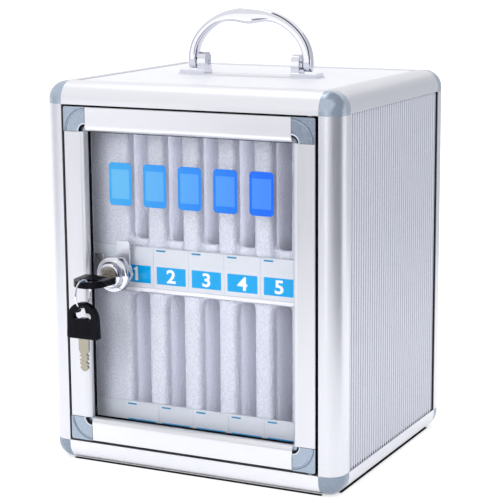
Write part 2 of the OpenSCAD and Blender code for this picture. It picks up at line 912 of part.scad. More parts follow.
// Three-lobed hole that the key ring passes through
module head_hole() {
  top = -head_l + bar_w + lobe_r;
  low = top + 5;
  for (p = [[0, top], [-5.1, low], [5.1, low]])
    translate(p) circle(r = lobe_r);
  polygon([[-lobe_r, top], [lobe_r, top], [5.1, low + 1.6], [-5.1, low + 1.6]]);
}

module head_shape() {
  difference() {
    translate([0, 0, -head_t / 2])
      linear_extrude(head_t)
        difference() {
          head_outline();
          head_hole();
        }
    translate([-blade_w / 2, -blade_in, -blade_t / 2])
      cube([blade_w, blade_in + 1, blade_t]);
  }
}

module at_key() { translate([lock_x, head_y, lock_z]) children(); }

module at_spare_key() {
  translate([lock_x, bar_y, spare_z])
    rotate([-90, 0, 0])
      children();
}

module key_blade() { color([0.80, 0.76, 0.62]) at_key() blade_shape(); }
module key_head() { color(black) at_key() head_shape(); }
module spare_key_blade() { color([0.80, 0.76, 0.62]) at_spare_key() blade_shape(); }
module spare_key_head() { color(black) at_spare_key() head_shape(); }

module key_ring() {
  color(chrome)
    translate([lock_x, bar_y, ring_z])
      rotate([0, 90, 0])
        rotate_extrude()
          translate([ring_r, 0]) circle(r = ring_wire_r, $fn = 24);
}

// ---------- carry handle ----------

module handle_strip() {
  l = 2 * (bracket_in_x + bracket_l) + 2;
  color(silver)
    difference() {
      translate([-l / 2, -bracket_d / 2 - 0.5, top_z]) cube([l, bracket_d + 1, strip_on_top_t]);
      handle_screw_places()
        translate([0, 0, top_z - 1]) cylinder(r = handle_screw_r + seat_clear, h = strip_on_top_t + 2);
    }
}

// Bracket on the right: a base with an upright lug that carries the pivot pin
module handle_bracket() {
  pin_h = handle_pin_z - bracket_z;
  color(chrome)
    difference() {
      union() {
        translate([bracket_in_x, -bracket_d / 2, bracket_z]) cube([bracket_l, bracket_d, bracket_t]);
        translate([bracket_in_x, -lug_r, bracket_z])
          cube([lug_w, 2 * lug_r, pin_h + lug_lift]);
        translate([bracket_in_x, 0, handle_pin_z + lug_lift])
          rotate([0, 90, 0])
            cylinder(r = lug_r, h = lug_w);
        translate([lug_out_x - 1, 0, handle_pin_z])
          rotate([0, 90, 0])
            cylinder(r = handle_pin_r + 1.6, h = 1 + lug_gap - face_clear);
      }
      translate([0, 0, handle_pin_z])
        rotate([0, 90, 0])
          cylinder(r = handle_pin_r + run_clear, h = handle_w);
      handle_screw_places()
        translate([0, 0, bracket_z - 1])
          cylinder(r = handle_screw_r + seat_clear, h = bracket_t);
    }
}

module right_handle_bracket() { handle_bracket(); }
module left_handle_bracket() { mirror([1, 0, 0]) handle_bracket(); }

module handle_pins() {
  color(chrome)
    for (m = [0, 1])
      mirror([m, 0, 0])
        translate([bracket_in_x + 0.5, 0, handle_pin_z])
          rotate([0, 90, 0])
            cylinder(r = handle_pin_r, h = lug_w + lug_gap + handle_leg - 1.8);
}

module handle_screws() {
  color(chrome)
    handle_screw_places() {
      translate([0, 0, panel_in_z - handle_screw_head_t])
        cylinder(r = handle_screw_head_r, h = handle_screw_head_t);
      translate([0, 0, panel_in_z - 1])
        cylinder(r = handle_screw_r, h = 1 + panel_t + strip_on_top_t + bracket_t - 1.2);
    }
}

// Station on the arch, t from 0 at the right leg to 180 at the left leg:
// a point on the outer edge, the inward normal and the local thickness
function arch_point(t) = [handle_w / 2 * cos(t), arch_z + arch_h * sin(t)];
function arch_inward(t) =
  let (n = [-cos(t) / (handle_w / 2), -sin(t) / arch_h]) n / norm(n);
function arch_thick(t) =
  handle_leg + grip_swell * exp(-pow(arch_point(t)[0] / 15, 2));

// Ring of points round the arch's section at station t: a rounded rectangle
arch_sides = 16;
function arch_ring(t) =
  let (p = arch_point(t), n = arch_inward(t), h = arch_thick(t))
  [for (k = [0 : arch_sides - 1])
    let (a = 360 * k / arch_sides,
         u = h / 2 * (1 - sign(cos(a)) * pow(abs(cos(a)), 0.5)),
         v = handle_depth / 2 * sign(sin(a)) * pow(abs(sin(a)), 0.5))
    [p[0] + n[0] * u, v, p[1] + n[1] * u]];

module arch() {
  steps = 40;
  rings = [for (i = [0 : steps]) arch_ring(180 * i / steps)];
  pts = [for (r = rings) each r];
  n = arch_sides;
  walls = [for (i = [0 : steps - 1], k = [0 : n - 1])
    let (a = i * n + k, b = i * n + (k + 1) % n)
    each [[a, a + n, b], [b, a + n, b + n]]];
  first = [for (k = [1 : n - 2]) [0, k, k + 1]];
  last = [for (k = [1 : n - 2]) [steps * n, steps * n + k + 1, steps * n + k]];
  polyhedron(points = pts, faces = concat(walls, first, last));
}

module carry_handle() {
  color(chrome)
    difference() {
      union() {
        arch();
        for (m = [0, 1])
          mirror([m, 0, 0]) {
            translate([leg_in_x, 0, handle_pin_z])
              rotate([0, 90, 0])
                cylinder(r = handle_depth / 2, h = handle_leg);
            translate([leg_in_x, -handle_depth / 2, handle_pin_z])
              cube([handle_leg, handle_depth, arch_z - handle_pin_z + 0.5]);
          }
      }
      for (m = [0, 1])
        mirror([m, 0, 0])
          translate([leg_in_x - 1, 0, handle_pin_z])
            rotate([0, 90, 0])
              cylinder(r = handle_pin_r + run_clear, h = handle_leg);
    }
}

front_left_post();
front_right_post();
rear_left_post();
rear_right_post();
front_top_rail();
front_bottom_rail();
rear_top_rail();
rear_bottom_rail();
left_top_rail();
right_top_rail();
left_bottom_rail();
right_bottom_rail();
top_corner_caps();
bottom_corner_caps();
left_side_panel();
right_side_panel();
top_panel();
bottom_panel();
back_panel();
bottom_panel_screws();
floor_foam_pad();
back_foam_pad();
lower_foam_dividers();
upper_foam_dividers();
shelf_board();
lower_label_strip();
upper_label_strip();
lower_number_cards();
upper_number_cards();
door_left_stile();
door_right_stile();
door_top_rail();
door_bottom_rail();
door_corners();
door_pane();
pane_gasket();
pivot_pins();
pivot_bushes();
lock_washer();
lock_housing();
lock_nut();
lock_plug();
lock_cam();
cam_screw();
strike_plate();
strike_screws();
key_blade();
key_head();
key_ring();
spare_key_blade();
spare_key_head();
handle_strip();
left_handle_bracket();
right_handle_bracket();
handle_pins();
handle_screws();
carry_handle();
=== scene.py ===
import math

import bmesh
import bpy
from mathutils import Matrix, Vector


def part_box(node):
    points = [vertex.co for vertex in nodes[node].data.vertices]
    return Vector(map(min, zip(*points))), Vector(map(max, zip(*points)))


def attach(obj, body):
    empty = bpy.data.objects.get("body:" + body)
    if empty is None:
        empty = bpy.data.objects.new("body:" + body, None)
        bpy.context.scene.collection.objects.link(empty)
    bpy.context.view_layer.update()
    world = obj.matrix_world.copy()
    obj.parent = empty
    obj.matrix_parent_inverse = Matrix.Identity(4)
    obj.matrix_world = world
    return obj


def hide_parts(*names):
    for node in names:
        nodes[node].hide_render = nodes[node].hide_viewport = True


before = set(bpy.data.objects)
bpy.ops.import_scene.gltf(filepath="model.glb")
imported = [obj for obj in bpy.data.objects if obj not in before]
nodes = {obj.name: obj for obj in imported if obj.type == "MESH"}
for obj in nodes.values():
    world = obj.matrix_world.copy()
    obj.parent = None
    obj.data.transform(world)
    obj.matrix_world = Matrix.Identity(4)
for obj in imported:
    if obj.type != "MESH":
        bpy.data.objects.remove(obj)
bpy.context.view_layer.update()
mm = 0.001
print("frame:", len(nodes), "CAD nodes")


def tone(red, green, blue):
    # a colour as it should look on the screen, 0 to 255, as the renderer's linear values
    steps = [value / 255 for value in (red, green, blue)]
    return [s / 12.92 if s <= 0.04045 else ((s + 0.055) / 1.055) ** 2.4 for s in steps] + [1.0]


# camera, at the photograph's viewpoint

cameraView = {
    "place": (0.58934, -1.18946, 0.41771),
    "yaw": 26.4165,
    "pitch": 10.9847,
    "roll": -0.4179,
    "lens": 120.06,
    "sensor": 36,
    "near": 0.05,
    "far": 50,
}


def placeCamera(view):
    camera = bpy.data.objects.new("camera", bpy.data.cameras.new("camera"))
    bpy.context.scene.collection.objects.link(camera)
    camera.data.lens = view["lens"]
    camera.data.sensor_width = view["sensor"]
    camera.data.clip_start, camera.data.clip_end = view["near"], view["far"]
    turn = Matrix.Rotation(math.radians(view["yaw"]), 4, "Z")
    tilt = Matrix.Rotation(math.radians(90 - view["pitch"]), 4, "X")
    lean = Matrix.Rotation(math.radians(view["roll"]), 4, "Z")
    camera.matrix_world = Matrix.Translation(view["place"]) @ turn @ tilt @ lean
    bpy.context.scene.camera = camera


placeCamera(cameraView)
print("camera placed")


# node helpers for the materials


def addNode(tree, kind, inputs=None, **settings):
    node = tree.nodes.new(kind)
    for name, value in settings.items():
        setattr(node, name, value)
    for name, value in (inputs or {}).items():
        if isinstance(value, bpy.types.NodeSocket):
            tree.links.new(value, node.inputs[name])
        else:
            node.inputs[name].default_value = value
    return node


def newMaterial(name, look):
    # look holds the shader's own plain values; patterns are added by the caller
    material = bpy.data.materials.new(name)
    material.use_nodes = True
    tree = material.node_tree
    shader = tree.nodes["Principled BSDF"]
    for socket, value in look.items():
        shader.inputs[socket].default_value = value
    return material, tree, shader


def ownSpace(tree, stretch=(1, 1, 1)):
    place = addNode(tree, "ShaderNodeTexCoord").outputs["Object"]
    return addNode(tree, "ShaderNodeMapping", {"Vector": place, "Scale": stretch}).outputs[0]


def coordinate(tree, axis):
    place = addNode(tree, "ShaderNodeTexCoord").outputs["Object"]
    return addNode(tree, "ShaderNodeSeparateXYZ", {"Vector": place}).outputs[axis]


def calculate(tree, operation, first, second=0.0):
    return addNode(tree, "ShaderNodeMath", {0: first, 1: second}, operation=operation).outputs[0]


def noiseIn(tree, size, detail=3.0, stretch=(1, 1, 1), rough=0.5):
    # noise whose blotches are about "size" metres across
    look = {"Scale": 1 / size, "Detail": detail, "Roughness": rough}
    place = {"Vector": ownSpace(tree, stretch)}
    return addNode(tree, "ShaderNodeTexNoise", {**place, **look}).outputs[0]


def cellsIn(tree, size):
    look = {"Vector": ownSpace(tree), "Scale": 1 / size}
    return addNode(tree, "ShaderNodeTexVoronoi", look, feature="F1").outputs["Distance"]


def spread(tree, value, low, high, start=0.3, end=0.7):
    # what runs from start to end comes out as low to high
    limits = {"Value": value, "From Min": start, "From Max": end, "To Min": low, "To Max": high}
    return addNode(tree, "ShaderNodeMapRange", limits).outputs[0]


def blendTones(tree, factor, first, second):
    # each of the two is a colour or another node's output
    colours = {0: factor, 6: first, 7: second}
    return addNode(tree, "ShaderNodeMix", colours, data_type="RGBA").outputs[2]


def bumpBy(tree, shader, height, depth, strength):
    look = {"Height": height, "Distance": depth, "Strength": strength}
    bump = addNode(tree, "ShaderNodeBump", look).outputs[0]
    tree.links.new(bump, shader.inputs["Normal"])


# materials

patternPlan = {  # places where a pattern changes, in metres
    # where the foam's painted shade on the front faces gives way to painted light deeper in
    "foamFront": -0.0745,
    "foamFade": 0.012,
    "ribs": (0.1235, 0.1241),  # from the middle of the case: groove and crest
    "inkReach": 0.062,
}
anodisedLook = {"Base Color": tone(217, 218, 224), "Metallic": 0.75, "Roughness": 0.34}


def anodised(name, along, light, dark):
    # satin aluminium with fine drawing lines along one axis
    material, tree, shader = newMaterial(name, anodisedLook)
    stretch = [0.02 if axis == along else 1.0 for axis in "XYZ"]
    lines = noiseIn(tree, 0.0006, 2, stretch)
    tree.links.new(spread(tree, lines, 0.3, 0.4), shader.inputs["Roughness"])
    shading = spread(tree, noiseIn(tree, 0.05, 2, stretch), 0, 1)
    tree.links.new(blendTones(tree, shading, dark, light), shader.inputs["Base Color"])
    bumpBy(tree, shader, lines, 0.000012, 0.5)
    return material


def sheetMetal(name, light, dark, roughness, grain):
    # coated sheet with a fine stipple
    material, tree, shader = newMaterial(name, {"Metallic": 0.15, "Roughness": roughness})
    mottling = spread(tree, noiseIn(tree, 0.012, 4), 0, 1)
    tree.links.new(blendTones(tree, mottling, light, dark), shader.inputs["Base Color"])
    bumpBy(tree, shader, noiseIn(tree, 0.0009, 2), grain, 0.6)
    return material


def ribbedSide(name, light, dark, groove, span, roughness):
    # grained sheet whose grooves, nearer the middle than the ribs, are painted darker: painted
    # shade in the grooves
    material, tree, shader = newMaterial(name, {"Metallic": 0.15, "Roughness": roughness})
    grain = noiseIn(tree, 0.0013, 3)
    ribs = blendTones(tree, spread(tree, grain, 0, 1), light, dark)
    outward = calculate(tree, "ABSOLUTE", coordinate(tree, "X"))
    colour = blendTones(tree, spread(tree, outward, 0, 1, *span), groove, ribs)
    tree.links.new(colour, shader.inputs["Base Color"])
    bumpBy(tree, shader, grain, 0.00008, 0.6)
    return material


def mouldedPlastic(name, light, dark, roughness, coat=0.0, metallic=0.0, gloss=0.5):
    look = {"Coat Weight": coat, "Coat Roughness": 0.12, "Metallic": metallic}
    material, tree, shader = newMaterial(name, {**look, "Specular IOR Level": gloss})
    fine = noiseIn(tree, 0.0012, 3)
    colour = blendTones(tree, spread(tree, fine, 0, 1), light, dark)
    dulling = spread(tree, noiseIn(tree, 0.004, 3), roughness - 0.05, roughness + 0.07)
    tree.links.new(colour, shader.inputs["Base Color"])
    tree.links.new(dulling, shader.inputs["Roughness"])
    bumpBy(tree, shader, fine, 0.00003, 0.4)
    return material


def plated(name, colour, low, high, size=0.003):
    # polished or satin metal whose gloss varies a little
    material, tree, shader = newMaterial(name, {"Base Color": colour, "Metallic": 1.0})
    wear = noiseIn(tree, size, 4)
    tree.links.new(spread(tree, wear, low, high), shader.inputs["Roughness"])
    bumpBy(tree, shader, noiseIn(tree, size * 2, 2), 0.00002, 0.3)
    return material


def foamMaterial(name, front, fade):
    # expanded foam: white, with a sparkle of fine cells; the front faces are painted greyer and the
    # faces deeper in lighter, painted shade and painted light that even out the slots' shading
    look = {"Roughness": 0.82, "Sheen Weight": 0.1, "Sheen Roughness": 0.5}
    material, tree, shader = newMaterial(name, look)
    speckle = spread(tree, noiseIn(tree, 0.0016, 4, rough=0.7), 0, 1, 0.35, 0.65)
    paintedDarkFront = blendTones(tree, speckle, tone(198, 202, 216), tone(226, 228, 240))
    paintedLightInside = blendTones(tree, speckle, tone(232, 234, 250), tone(246, 247, 255))
    # from the front faces inwards the painted shade gives way to painted light
    depth = spread(tree, coordinate(tree, "Y"), 0, 1, front, front + fade)
    tree.links.new(blendTones(tree, depth, paintedDarkFront, paintedLightInside), shader.inputs["Base Color"])
    bumpBy(tree, shader, spread(tree, cellsIn(tree, 0.0022), 1, 0, 0, 0.6), 0.00035, 0.8)
    return material


def plainCard(name, colour, roughness):
    material, tree, shader = newMaterial(name, {"Base Color": colour, "Specular IOR Level": 0.1})
    dulling = spread(tree, noiseIn(tree, 0.002, 3), roughness - 0.05, roughness + 0.05)
    tree.links.new(dulling, shader.inputs["Roughness"])
    return material


def clearSheet(name):
    # clear acrylic; lamps reach what is behind it
    look = {"Base Color": (0.99, 0.992, 1.0, 1), "Roughness": 0.0, "IOR": 1.22}
    material, tree, shader = newMaterial(name, {**look, "Transmission Weight": 1.0})
    path = addNode(tree, "ShaderNodeLightPath")
    through = addNode(tree, "ShaderNodeBsdfTransparent", {"Color": (0.97, 0.975, 0.985, 1)})
    shaders = {0: path.outputs["Is Shadow Ray"], 1: shader.outputs[0], 2: through.outputs[0]}
    mix = addNode(tree, "ShaderNodeMixShader", shaders)
    tree.links.new(mix.outputs[0], tree.nodes["Material Output"].inputs["Surface"])
    return material


def paneInk(name, left, right, reach):
    # printing on the pane, whose blue deepens from left to right
    material, tree, shader = newMaterial(name, {"Roughness": 0.4, "Specular IOR Level": 0.2})
    factor = spread(tree, coordinate(tree, "X"), 0, 1, -reach, reach)
    tree.links.new(blendTones(tree, factor, left, right), shader.inputs["Base Color"])
    return material


materials = {
    # one anodised aluminium in three copies: the rails along X are painted lighter than the rails
    # along Y and the posts, painted light
    "profileX": anodised("profile_x", "X", tone(232, 233, 238), tone(224, 225, 231)),
    "profileY": anodised("profile_y", "Y", tone(222, 223, 229), tone(214, 215, 221)),
    "profileZ": anodised("profile_z", "Z", tone(221, 222, 228), tone(213, 214, 220)),
    "ribbed": ribbedSide(
        "ribbed_sheet",
        light=tone(224, 226, 238),
        dark=tone(212, 214, 227),
        # the grooves' colour is painted shade
        groove=tone(172, 175, 189),
        span=patternPlan["ribs"],
        roughness=0.4,
    ),
    "backSheet": sheetMetal("back_sheet", tone(218, 220, 230), tone(212, 214, 226), 0.4, 0.00006),
    "topSheet": sheetMetal("top_sheet", tone(240, 241, 247), tone(235, 236, 244), 0.5, 0.00001),
    "cap": mouldedPlastic(
        "cap_plastic", tone(166, 178, 193), tone(152, 165, 181), 0.22, coat=0.4, metallic=0.4
    ),
    # the bottom corner caps are painted darker than the top ones: painted shade
    "capFootShaded": mouldedPlastic(
        "foot_cap_plastic_shaded", tone(138, 151, 168), tone(126, 140, 157), 0.26, coat=0.3, metallic=0.3
    ),
    "doorCap": mouldedPlastic(
        "door_corner_plastic",
        tone(161, 174, 190),
        tone(151, 164, 181),
        0.24,
        coat=0.2,
        metallic=0.7,
    ),
    # light plastic on the dimple rims of the door's corner blocks: a painted highlight
    "ridge": mouldedPlastic(
        "rim_highlight_plastic", tone(222, 228, 236), tone(214, 221, 230), 0.2, coat=0.4, metallic=0.3
    ),
    "seam": mouldedPlastic("seam_shadow", tone(112, 118, 130), tone(120, 126, 138), 0.6, gloss=0.1),
    "foam": foamMaterial("foam", patternPlan["foamFront"], patternPlan["foamFade"]),
    "shelf": plainCard("shelf_sheet", tone(238, 238, 245), 0.6),
    "label": plainCard("label_plastic", tone(212, 217, 225), 0.35),
    "cardWhite": plainCard("card_white", tone(214, 218, 226), 0.4),
    "cardBlue": plainCard("card_blue", tone(0, 162, 228), 0.6),
    "cardDash": plainCard("card_dash", tone(40, 140, 185), 0.4),
    "numeral": plainCard("card_numeral", tone(252, 252, 254), 0.4),
    "pane": clearSheet("clear_pane"),
    "ink": paneInk("pane_ink", tone(62, 160, 226), tone(30, 104, 230), patternPlan["inkReach"]),
    "inkLight": paneInk(
        "pane_ink_light", tone(98, 178, 228), tone(66, 132, 234), patternPlan["inkReach"]
    ),
    # black rubber for the gasket and washer; the same dark material also stands as painted shade in
    # the door's gap, along the side panels, under the bottom rails and in the corner dimples
    "rubber": mouldedPlastic("black_rubber", tone(12, 12, 14), tone(18, 18, 20), 0.6, gloss=0.08),
    "nylon": mouldedPlastic("black_nylon", tone(24, 24, 26), tone(30, 30, 32), 0.5),
    "chrome": plated("chrome", tone(222, 223, 231), 0.04, 0.09),
    "plug": plated("plug_metal", tone(200, 196, 188), 0.24, 0.36, 0.0015),
    "keyMetal": plated("key_metal", tone(160, 156, 142), 0.18, 0.32, 0.0012),
    "keyPlastic": mouldedPlastic("key_plastic", tone(8, 8, 14), tone(14, 14, 22), 0.16, gloss=0.08),
    "zinc": plated("zinc", tone(205, 207, 210), 0.25, 0.4),
    "cam": plated("cam_steel", tone(222, 223, 233), 0.4, 0.5),
}
print("materials:", len(materials))


# CAD nodes: material, softened edges

profileNodes = {
    "profileZ": [
        "front_left_post",
        "front_right_post",
        "rear_left_post",
        "rear_right_post",
        "door_left_stile",
        "door_right_stile",
    ],
    "profileX": [
        "front_top_rail",
        "front_bottom_rail",
        "rear_top_rail",
        "rear_bottom_rail",
        "door_top_rail",
        "door_bottom_rail",
        "handle_strip",
    ],
    "profileY": ["left_top_rail", "right_top_rail", "left_bottom_rail", "right_bottom_rail"],
}
otherNodes = {
    "cap": ["top_corner_caps"],
    "capFootShaded": ["bottom_corner_caps"],
    "doorCap": ["door_corners"],
    "ribbed": ["left_side_panel", "right_side_panel"],
    "backSheet": ["back_panel", "bottom_panel"],
    "topSheet": ["top_panel"],
    "shelf": ["shelf_board"],
    "label": ["lower_label_strip", "upper_label_strip"],
    "cardWhite": ["lower_number_cards", "upper_number_cards"],
    "pane": ["door_pane"],
    "rubber": ["pane_gasket", "lock_washer"],
    "nylon": ["pivot_bushes"],
    "chrome": [
        "key_ring",
        "left_handle_bracket",
        "right_handle_bracket",
        "handle_pins",
        "lock_housing",
        "carry_handle",
    ],
    "plug": ["lock_plug"],
    "keyMetal": ["key_blade", "spare_key_blade"],
    "keyPlastic": ["key_head", "spare_key_head"],
    "cam": ["lock_cam"],
    "zinc": [
        "pivot_pins",
        "lock_nut",
        "cam_screw",
        "strike_plate",
        "strike_screws",
        "handle_screws",
        "bottom_panel_screws",
    ],
}
edgeSoftening = {  # bevel widths in metres
    "profile": 0.00025,
    "top_corner_caps": 0.0003,
    "bottom_corner_caps": 0.0003,
    "door_corners": 0.0002,
    "left_handle_bracket": 0.0008,
    "right_handle_bracket": 0.0008,
    "handle_strip": 0.0003,
    "lower_label_strip": 0.0003,
    "upper_label_strip": 0.0003,
    "shelf_board": 0.0004,
    "key_blade": 0.0003,
    "spare_key_blade": 0.0003,
    "key_head": 0.0009,
    "spare_key_head": 0.0009,
    "lock_plug": 0.0002,
    "lock_cam": 0.0003,
    "strike_plate": 0.0003,
}
softening = {"merge": 0.00001, "flat": 1, "sharp": 35, "segments": 3}  # angles in degrees


def soften(piece, width, plan):
    # merges the loose triangles, joins flat ones, then rounds what is sharp
    weld = piece.modifiers.new("weld", "WELD")
    weld.merge_threshold = plan["merge"]
    flats = piece.modifiers.new("flats", "DECIMATE")
    flats.decimate_type = "DISSOLVE"
    flats.angle_limit = math.radians(plan["flat"])
    rounding = piece.modifiers.new("rounding", "BEVEL")
    rounding.width = width
    rounding.segments = plan["segments"]
    rounding.limit_method = "ANGLE"
    rounding.angle_limit = math.radians(plan["sharp"])
    normals = piece.modifiers.new("normals", "WEIGHTED_NORMAL")
    normals.keep_sharp = True


def dress(node, material, width):
    piece = nodes[node]
    piece.data.materials.clear()
    piece.data.materials.append(materials[material])
    if width:
        soften(piece, width, softening)


for material, members in profileNodes.items():
    for node in members:
        dress(node, material, edgeSoftening.get(node, edgeSoftening["profile"]))
for material, members in otherNodes.items():
    for node in members:
        dress(node, material, edgeSoftening.get(node, 0))
print("CAD nodes dressed")


# mesh helpers

creaseAngle = 40  # degrees; what bends more stays sharp on a smooth piece


def newPiece(name, shape, material, body, smooth=False):
    # shape is a finished bmesh in the part's frame
    mesh = bpy.data.meshes.new(name)
    bmesh.ops.remove_doubles(shape, verts=shape.verts, dist=0.000001)
    bmesh.ops.recalc_face_normals(shape, faces=shape.faces)
    shape.to_mesh(mesh)
    shape.free()
    if smooth:
        mesh.shade_smooth()
        mesh.set_sharp_from_angle(angle=math.radians(creaseAngle))
    piece = bpy.data.objects.new(name, mesh)
    bpy.context.scene.collection.objects.link(piece)
    mesh.materials.append(materials[material])
    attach(piece, body)
    return piece


def addBlock(shape, low, high):
    # a block between two corners; returns its vertices
    size = [high[i] - low[i] for i in range(3)]
    middle = [(high[i] + low[i]) / 2 for i in range(3)]
    place = Matrix.Translation(middle) @ Matrix.Diagonal((*size, 1))
    return bmesh.ops.create_cube(shape, size=1, matrix=place)["verts"]


def edgesOf(verts):
    return list({edge for vert in verts for edge in vert.link_edges})


def roundEdges(shape, edges, radius, segments):
    bmesh.ops.bevel(
        shape,
        geom=edges,
        offset=radius,
        segments=segments,
        profile=0.5,
        affect="EDGES",
        material=-1,
    )


def quarterTurn(shape, geom, steps):
    # from +X to +Z about the origin
    bmesh.ops.spin(
        shape, geom=geom, cent=(0, 0, 0), axis=(0, -1, 0), angle=math.pi / 2, steps=steps
    )


# carry handle

handlePlan = {
    "leg": 7 * mm,
    "swell": 6.0 * mm,  # extra thickness of the grip
    "swellReach": 17 * mm,
    "crown": 0.06,  # how much deeper the grip is than the legs
    "squareness": 0.5,
    "archFoot": 3 * mm,  # above the pins
    "footTurns": (15, 30, 45, 58, 70, 80, 87),  # degrees round each foot's rounding
    "sides": 64,
    "steps": 96,
}


def carryHandle(plan):
    low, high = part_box("carry_handle")
    footRadius = (high.y - low.y) / 2
    wide, deep = high.x, footRadius / (1 + plan["crown"])
    pinZ = low.z + footRadius
    archZ = pinZ + plan["archFoot"]
    rise = high.z - archZ
    shape = bmesh.new()
    section = bmesh.ops.create_circle(shape, segments=plan["sides"], radius=1)["verts"]
    for vert in section:
        x, y = (math.copysign(abs(value) ** plan["squareness"], value) for value in vert.co.xy)
        vert.co = (wide - plan["leg"] / 2 * (1 - x), deep * y, archZ)
    bmesh.ops.spin(
        shape,
        geom=section + edgesOf(section),
        cent=(0, 0, archZ),
        axis=(0, -1, 0),
        angle=math.pi,
        steps=plan["steps"],
    )
    for vert in shape.verts:
        # the round arch is stretched to the real one, thicker at the grip
        angle = math.atan2(max(vert.co.z - archZ, 0), vert.co.x)
        inner = (wide - math.hypot(vert.co.x, vert.co.z - archZ)) / plan["leg"]
        outer = Vector((wide * math.cos(angle), 0, archZ + rise * math.sin(angle)))
        inward = Vector((-math.cos(angle) / wide, 0, -math.sin(angle) / rise)).normalized()
        grip = math.exp(-((outer.x / plan["swellReach"]) ** 2))
        y = vert.co.y * (1 + plan["crown"] * grip)
        vert.co = outer + inward * inner * (plan["leg"] + plan["swell"] * grip)
        vert.co.y = y
    turns = [math.radians(turn) for turn in plan["footTurns"]]
    levels = [(1, pinZ)] + [(math.cos(t), pinZ - footRadius * math.sin(t)) for t in turns]
    for side in (-1, 1):
        rim = [e for e in shape.edges if e.is_boundary and e.verts[0].co.x * side > 0]
        before = 1
        for narrow, z in levels:
            grown = bmesh.ops.extrude_edge_only(shape, edges=rim)["geom"]
            for vert in (item for item in grown if isinstance(item, bmesh.types.BMVert)):
                vert.co.y *= narrow / before
                vert.co.z = z
            rim = [item for item in grown if isinstance(item, bmesh.types.BMEdge)]
            before = narrow
        bmesh.ops.holes_fill(shape, edges=rim, sides=0)
    piece = newPiece("handle_grip", shape, "chrome", "handle", smooth=True)
    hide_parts("carry_handle")


carryHandle(handlePlan)
print("handle made")


# lock

lockPlan = {
    "steps": 128,
    # radius, and distance behind the bezel's front edge, in millimetres
    "rings": [
        (7.05, 17.0),
        (7.05, 0.5),
        (7.35, 0.12),
        (7.8, 0.0),
        (8.5, 0.12),
        (9.1, 0.55),
        (9.6, 1.25),
        (9.95, 2.1),
        (10.5, 3.4),
        (10.75, 3.9),
        (10.75, 4.35),
        (11.5, 4.45),
        (11.75, 4.6),
        (11.9, 5.0),
        (12.3, 5.25),
        (13.1, 5.5),
        (13.7, 5.95),
        (13.95, 6.5),
        (14.0, 7.1),
        (14.0, 7.9),
        (9.5, 7.9),
        (9.5, 17.0),
    ],
}


def lockHousing(plan):
    low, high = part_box("lock_housing")
    centreX, centreZ = (low.x + high.x) / 2, (low.z + high.z) / 2
    deepest = high.y - low.y
    shape = bmesh.new()
    ring = []
    for radius, back in plan["rings"]:
        spot = (centreX + radius * mm, low.y + min(back * mm, deepest), centreZ)
        ring.append(shape.verts.new(spot))
    sides = [shape.edges.new((ring[i - 1], ring[i])) for i in range(len(ring))]
    bmesh.ops.spin(
        shape,
        geom=ring + sides,
        cent=(centreX, 0, centreZ),
        axis=(0, 1, 0),
        angle=math.tau,
        steps=plan["steps"],
        use_merge=True,
    )
    piece = newPiece("lock_bezel", shape, "chrome", "door", smooth=True)
    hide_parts("lock_housing")


lockHousing(lockPlan)


# grip lines on the key heads

gripLines = {
    "count": 5,
    "pitch": 2 * mm,
    "width": 15 * mm,
    "height": 0.7 * mm,
    "proud": 0.22 * mm,
    "start": 4 * mm,
    "round": 0.132 * mm,
    "roundSteps": 2,
}


def keyHeadLines(node, body, plan, upright):
    low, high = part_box(node)
    left, right = (low.x + high.x - plan["width"]) / 2, (low.x + high.x + plan["width"]) / 2
    proud = plan["proud"]
    shape = bmesh.new()
    for face in (0, 1):
        for i in range(plan["count"]):
            near = plan["start"] + i * plan["pitch"]
            far = near + plan["height"]
            if upright:
                y = (low.y, high.y)[face]
                ends = (left, y - proud, low.z + near), (right, y + proud, low.z + far)
            else:
                z = (low.z, high.z)[face]
                ends = (left, high.y - far, z - proud), (right, high.y - near, z + proud)
            edges = edgesOf(addBlock(shape, *ends))
            roundEdges(shape, edges, plan["round"], plan["roundSteps"])
    newPiece(node + "_lines", shape, "keyPlastic", body, smooth=True)


keyHeadLines("key_head", "key", gripLines, False)
keyHeadLines("spare_key_head", "spare_key", gripLines, True)
print("lock and keys made")


# dark blocks of painted shade in the door's gap, along the side panels and under the bottom rails

gapShadePlan = {
    "thick": 0.4 * mm,
    "frontInset": 0.5 * mm,
    "backInset": 1.2 * mm,
    "clear": 0.4 * mm,  # round the pivot pins
}
seamShadePlan = {
    "rear": 4.2 * mm,
    "front": 0.5 * mm,
    "foot": 1.3 * mm,
    "head": 0.7 * mm,
    "proud": 0.12 * mm,
    "shallow": 0.2 * mm,  # how far foot and head stay behind the ribs
    "deep": 1.2 * mm,
}
footShadowPlan = {"out": 6.0 * mm, "in": 8.2 * mm, "low": 0.05 * mm, "high": 0.75 * mm}


def doorGapShade(plan):
    # thin dark blocks in the gap round the door: painted shade
    left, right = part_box("door_left_stile"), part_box("door_right_stile")
    bottom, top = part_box("door_bottom_rail")[0].z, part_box("door_top_rail")[1].z
    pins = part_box("pivot_pins")
    x0, x1 = left[0].x, right[1].x
    y0, y1 = left[0].y + plan["frontInset"], left[1].y - plan["backInset"]
    thick, clear = plan["thick"], plan["clear"]
    shape = bmesh.new()
    addBlock(shape, (x0 - thick, y0, bottom), (x0, y1, top))
    addBlock(shape, (x1, y0, bottom), (x1 + thick, y1, top))
    for z in (bottom - thick, top):
        addBlock(shape, (x0 - thick, y0, z), (pins[0].x - clear, y1, z + thick))
        addBlock(shape, (pins[0].x - clear, y0, z), (x1 + thick, pins[0].y - clear, z + thick))
    newPiece("door_gap_shade", shape, "rubber", "door")


